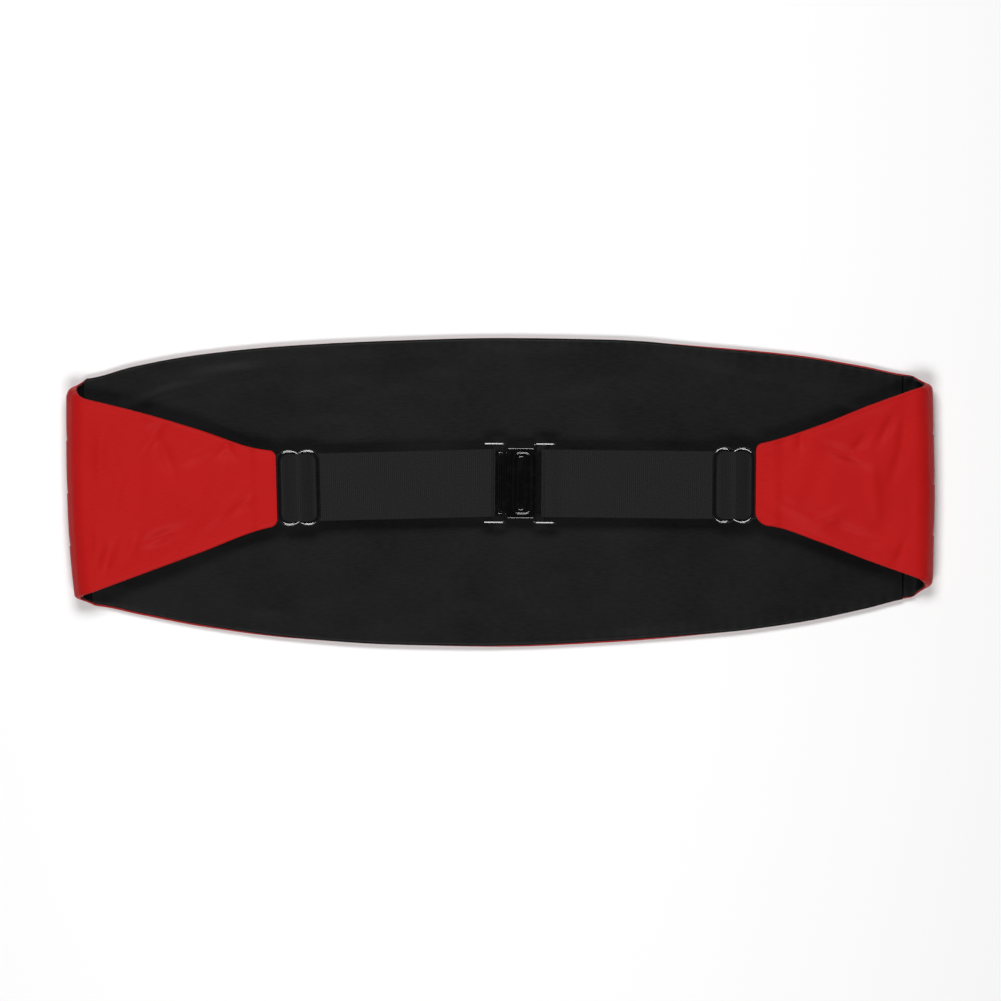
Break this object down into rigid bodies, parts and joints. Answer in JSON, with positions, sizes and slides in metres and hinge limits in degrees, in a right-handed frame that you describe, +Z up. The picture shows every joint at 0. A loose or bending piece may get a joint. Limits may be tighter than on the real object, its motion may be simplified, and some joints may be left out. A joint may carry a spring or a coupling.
{
  "type": "cummerbund",
  "caption": "Pleated satin waist sash lying face down with both ends folded over its lining and joined by an elastic belt with wire slides and a metal clasp.",
  "frame": {"origin": "on the surface that the sash lies on, under the middle of its bounding box", "axes": "+X along the sash towards the clasp's hook side, +Y towards its upper edge as pictured, +Z up from the surface, from the pleated front to the belt"},
  "size_m": [0.365, 0.13, 0.0175],
  "materials": {
    "satin": "soft red satin",
    "lining": "soft black satin lining",
    "elastic": "ribbed black woven elastic",
    "black_metal": "gloss black enamel"
  },
  "bodies": {
    "root": {"pleated_front": "satin", "front_lining": "lining", "left_wing": "satin", "right_wing": "satin", "left_wing_lining": "lining", "right_wing_lining": "lining", "left_elastic": "elastic", "right_elastic": "elastic", "left_slide": "black_metal", "right_slide": "black_metal", "clasp_eye": "black_metal", "clasp_hook": "black_metal"}
  },
  "joints": []
}
